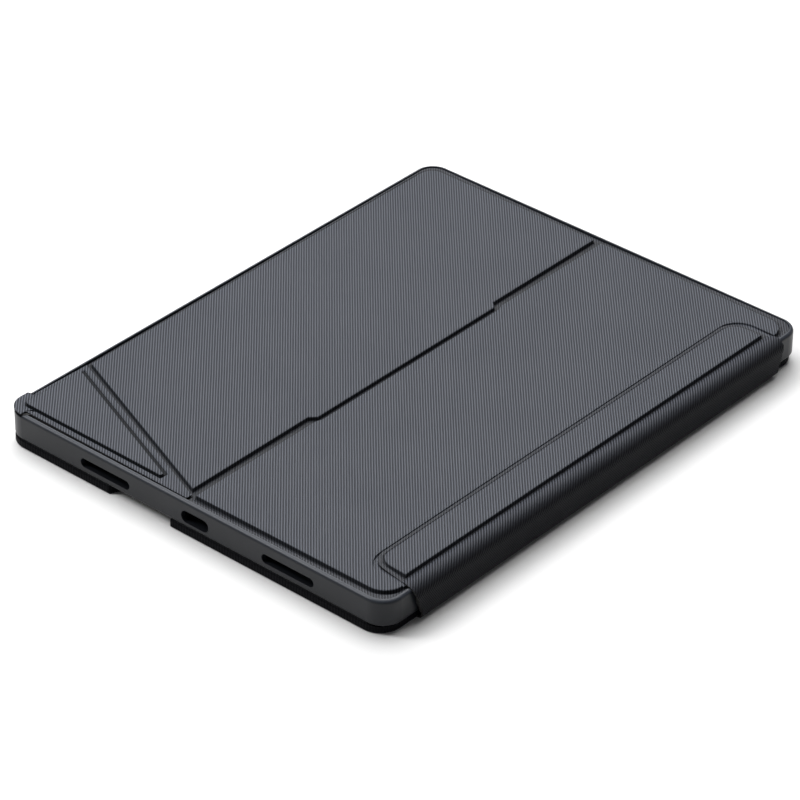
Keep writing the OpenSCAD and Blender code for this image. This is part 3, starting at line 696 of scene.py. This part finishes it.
def corner_plate(shift):
    """Outline of the loose corner's triangular plate, with its long side at shift from the fold."""
    return [(diagonal_x(TRIANGLE_LOW_Y, shift), TRIANGLE_LOW_Y, 0, 0),
            (TAB_SHOULDER_X - 2, TRIANGLE_LOW_Y, 0, 0), (TAB_SHOULDER_X, TRIANGLE_LOW_Y, SOFT_R, SOFT),
            (TRIANGLE_X, TRIANGLE_LOW_Y, TRIANGLE_R, ROUND), (TRIANGLE_X, TAB_NECK_LOW_Y, SOFT_R, SOFT),
            (TRIANGLE_X, TAB_NECK_HIGH_Y, 0, 0), (TRIANGLE_X, TRIANGLE_HIGH_Y, 0, 0),
            (diagonal_x(TRIANGLE_HIGH_Y, shift), TRIANGLE_HIGH_Y, 0, 0)]


# The corner stands a little open at rest
hinge = CORNER_HINGE * MM
lift = (Matrix.Translation(hinge)
        @ Matrix.Rotation(CORNER_LIFT, 4, Vector((-DIAGONAL_ALONG.x, -DIAGONAL_ALONG.y, 0)))
        @ Matrix.Translation(-hinge))

# Its channel takes the very dark skin of painted shade
corner_cover = plated("corner_cover", corner_edge, corner_plate(TRIANGLE_SHIFT), lining_high.z,
                      MARGIN_Z, COVER_Z, place=lift, groove=0.6, groove_w="narrow", soft=0.5,
                      lower=corner_lower, channel=corner_plate(TRIANGLE_SHIFT - TRIANGLE_CHANNEL),
                      skins=(ribs, ribs, deep_groove_ribs_painted_shade))
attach(corner_cover, "corner")
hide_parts("corner_skin", "corner_pad", "corner_board")


# ---------------------------------------------------------------- spine flap and creases

FLAP_CREASE_Y = 103.9
FLAP_X = 125.2
FLAP_PLATE_X = flap_board_high.x + SKIN_T
FLAP_TAPER = 2.2
FLAP_R = 9
FLAP_PLATE_TAPER = 1
FLAP_PLATE_R = 7.5
FLAP_PLATE_LOW_Y = flap_board_low.y - SKIN_T
FLAP_PLATE_HIGH_Y = flap_board_high.y + SKIN_T
FLAP_MARGIN_Z = flap_lining_low.z + 0.7
CREASE_DIP = 0.85
flap_edge = [(-FLAP_X, FLAP_CREASE_Y, 0, 0), (-FLAP_X + FLAP_TAPER, flap_low.y, FLAP_R, ROUND),
             (FLAP_X - FLAP_TAPER, flap_low.y, FLAP_R, ROUND), (FLAP_X, FLAP_CREASE_Y, 0, 0)]
flap_plate = [(-FLAP_PLATE_X, FLAP_PLATE_HIGH_Y, 0, 0),
              (-FLAP_PLATE_X + FLAP_PLATE_TAPER, FLAP_PLATE_LOW_Y, FLAP_PLATE_R, ROUND),
              (FLAP_PLATE_X - FLAP_PLATE_TAPER, FLAP_PLATE_LOW_Y, FLAP_PLATE_R, ROUND),
              (FLAP_PLATE_X, FLAP_PLATE_HIGH_Y, 0, 0)]
flap_cover = plated("flap_cover", flap_edge, flap_plate, BED_Z, FLAP_MARGIN_Z, flap_high.z,
                    planes=[(TOWARDS_NEAR, FLAP_CREASE_Y - FOLD_LIP)],
                    sunk=[(TOWARDS_NEAR, flap_board_high.y + 0.2)], sunk_z=FLAP_MARGIN_Z - CREASE_DIP,
                    groove=0.45, groove_w="narrow")
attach(flap_cover, "shell")
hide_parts("flap_skin", "flap_board", "flap_lining")

# The spine's outer face runs from the flap's crease round to the table
SPINE_BEND_R = 5.4
SPINE_FOOT_R = 4.4
SPINE_FOOT_Z = 0.1
SPINE_LAP = 0.3
SPINE_STEP = 0.35
SPINE_RISE = 1.6
SPINE_T = spine_high.y - spine_low.y + 0.2
SPINE_SPLIT_Z = (spine_low.z + spine_high.z) / 2
CREASE_T = 0.65
CREASE_W = 2.4
QUARTER = math.pi / 2
bend_centre = Vector((spine_high.y - SPINE_BEND_R, FLAP_MARGIN_Z - SPINE_BEND_R))
foot_centre = Vector((spine_high.y - SPINE_FOOT_R, SPINE_FOOT_Z + SPINE_FOOT_R))
# Half length of the sheet at each unrolled distance from the centre line
SPINE_HALF_LENGTHS = [(103.9, FLAP_X), (109, 126.5), (113, 126.4), (118, 124.7), (124, 122.7), (131, 121.8)]


def eased(share):
    """share, kept from 0 to 1, with a smooth start and end."""
    share = min(max(share, 0), 1)
    return share * share * (3 - 2 * share)


def spine_half_length(along):
    for (from_y, from_x), (to_y, to_x) in zip(SPINE_HALF_LENGTHS, SPINE_HALF_LENGTHS[1:]):
        if along <= to_y:
            return from_x + (to_x - from_x) * eased((along - from_y) / (to_y - from_y))
    return SPINE_HALF_LENGTHS[-1][1]


def facing(angle):
    return Vector((math.cos(angle), math.sin(angle)))


def on_stretch(start, angle, length, centre, share):
    """Point and normal's angle at a share of a straight stretch, or of a quarter turn round centre."""
    if centre:
        turned = angle - share * QUARTER
        return centre + (start - centre).length * facing(turned), turned
    return start + length * share * Vector((math.sin(angle), -math.cos(angle))), angle


def spine_path():
    """Rows (point, outward normal, unrolled length) down the spine's outer face."""
    point, angle = Vector((FLAP_CREASE_Y - SPINE_LAP, FLAP_MARGIN_Z)), QUARTER
    along, rows = point.x, []
    for length, centre in ((bend_centre.x - point.x, None), (SPINE_BEND_R * QUARTER, bend_centre),
                           (bend_centre.y - foot_centre.y, None), (SPINE_FOOT_R * QUARTER, foot_centre)):
        count = math.ceil(length / SPINE_STEP)
        for k in range(count):
            here, turned = on_stretch(point, angle, length, centre, k / count)
            rows.append((here, facing(turned), along + length * k / count))
        point, angle = on_stretch(point, angle, length, centre, 1)
        along += length
    rows.append((point, facing(angle), along))
    return rows


def spine_thickness(z):
    """Thin at the creases, as thick as the board between them."""
    share = min(z - spine_low.z, spine_high.z - z) / SPINE_RISE
    return CREASE_T + (SPINE_T - CREASE_T) * eased(share)


def crease_dip(y):
    """How far the skin sinks into the crease beside the flap."""
    return CREASE_DIP * eased((FLAP_CREASE_Y + CREASE_W - y) / CREASE_W)


def spine_sheet(name, rows):
    """Part of the spine's skin and board as one bent sheet."""
    profile = []
    for point, normal, along in rows:
        dip = crease_dip(point.x)
        inner = point - normal * (spine_thickness(point.y) - 0.4 * dip)
        profile.append((point.x, point.y - dip, inner.x, inner.y - dip, along))
    piece = sheet(name, profile, spine_half_length, [spine_ribs_painted_shade, lining, cut_edge])
    return piece


spine_rows = spine_path()
split = min(range(len(spine_rows)), key=lambda i: abs(spine_rows[i][0].y - SPINE_SPLIT_Z))
upper_spine = spine_sheet("spine_upper_skin", spine_rows[:split + 1])
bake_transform(upper_spine)
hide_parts("spine_skin", "spine_board", "spine_lining")
lower_spine = spine_sheet("spine_lower_skin", spine_rows[split:])
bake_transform(lower_spine)

# Skin at the bottom of the kickstand's fold and the corner's fold, in the darker groove skin of painted
# shade
VALLEY_T = 0.4
VALLEY_ROWS = 12
VALLEY_COLUMNS = 24
VALLEY_IN = 0.3


def valley(name, half, low, high, place=None):
    """Strip from low to high across a fold between two bodies."""
    profile = [(y, VALLEY_Z, y, VALLEY_Z - VALLEY_T, y)
               for y in (low + (high - low) * k / VALLEY_ROWS for k in range(VALLEY_ROWS + 1))]
    piece = sheet(name, profile, lambda along: half, [groove_ribs_painted_shade, lining, cut_edge],
                  VALLEY_COLUMNS, place)
    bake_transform(piece)


valley("kickstand_crease", near_high.x - 0.4, -3.0, -0.8)
crease_top = CORNER_HINGE.xy + DIAGONAL_ALONG * 3.0
crease_half = (crease_top.y - far_low.y) / math.cos(DIAGONAL) / 2 - VALLEY_IN
crease_mid = (crease_top - DIAGONAL_ALONG * (crease_half + VALLEY_IN)).to_3d()
across = DIAGONAL_ACROSS.to_3d()
valley("corner_crease", crease_half, -2.6, -0.4,
       Matrix.Translation(crease_mid * MM)
       @ Matrix((-DIAGONAL_ALONG.to_3d(), -across, Vector((0, 0, 1)))).transposed().to_4x4())


# ---------------------------------------------------------------- keys

DISH = 0.18
KEY_ROUND = 1.4
# The caps with a homing bar, counted from -X in their row
HOMING_NODE = "middle_letter_keys"
HOMING_KEYS = (3, 6)
HOMING_L = 3.6
HOMING_W = 0.7
HOMING_IN = 2.6


def key_cap(low, high):
    """Cap with a soft top edge and a shallow dish."""
    (x0, y0, z0), (x1, y1, z1) = low, high
    radius = min(KEY_ROUND, (y1 - y0) / 5)
    corners = [(x, y, radius, SOFT) for x, y in ((x0, y0), (x1, y0), (x1, y1), (x0, y1))]
    most = (y1 - y0) / 2 - 0.4
    rings = [(0.15, z0), (0.0, z0 + 0.15), (0.0, z1 - 0.5), (0.08, z1 - 0.2), (0.25, z1 - 0.05), (0.5, z1),
             (0.8, z1 - 0.02), (0.45 * most, z1 - 0.6 * DISH), (0.75 * most, z1 - 0.9 * DISH),
             (most, z1 - DISH)]
    return loft("cap", level_rings(corners, rings), [key_plastic])


def homing_bar(low, high):
    """Small bar that the index finger finds, near the front of a cap."""
    x, y = (low[0] + high[0]) / 2, low[1] + HOMING_IN
    corners = [(x + side_x * HOMING_L / 2, y + side_y * HOMING_W / 2, HOMING_W / 2.2, SOFT)
               for side_x, side_y in ((-1, -1), (1, -1), (1, 1), (-1, 1))]
    z = high[2] - DISH
    rings = ((0, z - 0.2), (0, z + 0.18), (0.08, z + 0.26), (0.2, z + 0.3))
    return loft("bar", level_rings(corners, rings), [key_plastic])


key_nodes = [m["node"] for m in frame["record"]["subparts"] if m["material_slot"] == "key"]
for node in key_nodes:
    solids = islands(node)
    shapes = [key_cap(*solid) for solid in solids]
    if node == HOMING_NODE:
        shapes += [homing_bar(*solids[i]) for i in HOMING_KEYS]
    caps = joined(node.replace("_key", "_cap") if "_key" in node else node + "_cap", shapes)
    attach(caps, node)
    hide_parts(node)


# ---------------------------------------------------------------- light, floor, camera

CAMERA_AZIMUTH = math.radians(130.70)
CAMERA_ELEVATION = math.radians(33.68)
CAMERA_ROLL = math.radians(0.59)
CAMERA_DISTANCE = 1.8085
CAMERA_ASIDE = 0.0044
CAMERA_DOWN = -0.0011
CAMERA_LENS = 182.16

back = Vector((math.sin(CAMERA_AZIMUTH) * math.cos(CAMERA_ELEVATION),
               -math.cos(CAMERA_AZIMUTH) * math.cos(CAMERA_ELEVATION), math.sin(CAMERA_ELEVATION)))
level = Vector((0, 0, 1)).cross(back).normalized()
down = back.cross(level).normalized() * -1
right = level * math.cos(CAMERA_ROLL) - down * math.sin(CAMERA_ROLL)
down = level * math.sin(CAMERA_ROLL) + down * math.cos(CAMERA_ROLL)
camera_data = bpy.data.cameras.new("camera")
camera_data.lens = CAMERA_LENS
camera_data.clip_end = 20
camera = bpy.data.objects.new("camera", camera_data)
place = back * CAMERA_DISTANCE - right * CAMERA_ASIDE - down * CAMERA_DOWN
camera.matrix_world = Matrix.Translation(place) @ Matrix((right, -down, back)).transposed().to_4x4()
bpy.context.scene.collection.objects.link(camera)
bpy.context.scene.camera = camera


def softbox(name, place, size, power):
    """Rectangular light aimed at the case."""
    data = bpy.data.lights.new(name, "AREA")
    data.shape = "RECTANGLE"
    data.size, data.size_y = size
    data.energy = power
    lamp = bpy.data.objects.new(name, data)
    lamp.location = place
    lamp.rotation_euler = (-Vector(place)).to_track_quat("-Z", "Y").to_euler()
    bpy.context.scene.collection.objects.link(lamp)


softbox("overhead", (-0.5, -0.6, 1.6), (2.2, 2.2), 52)
softbox("rim_light", (0.9, -1.1, 1.35), (0.4, 1.0), 17)
softbox("back_strip", (-1.45, -1.25, 1.28), (0.6, 0.6), 5)

world = bpy.data.worlds.new("studio")
world.use_nodes = True
sky = world.node_tree.nodes["Background"]
sky.inputs["Color"].default_value = grey(1.0)
sky.inputs["Strength"].default_value = 0.1
bpy.context.scene.world = world
bpy.context.scene.view_settings.view_transform = "Standard"


FLOOR_HALF = 4


def add_floor():
    """Plain pale paper that the case lies on."""
    n = Nodes("floor")
    paper = n.noise(n.coordinates(), 40, 3)
    material = n.finish(n.mix(paper, grey(0.86), grey(0.90)), 0.8)
    mesh = bpy.data.meshes.new("floor")
    corners = [(x * FLOOR_HALF, y * FLOOR_HALF, 0) for x, y in ((-1, -1), (1, -1), (1, 1), (-1, 1))]
    mesh.from_pydata(corners, [], [(0, 1, 2, 3)])
    mesh.materials.append(material)
    floor = bpy.data.objects.new("floor", mesh)
    bpy.context.scene.collection.objects.link(floor)


add_floor()
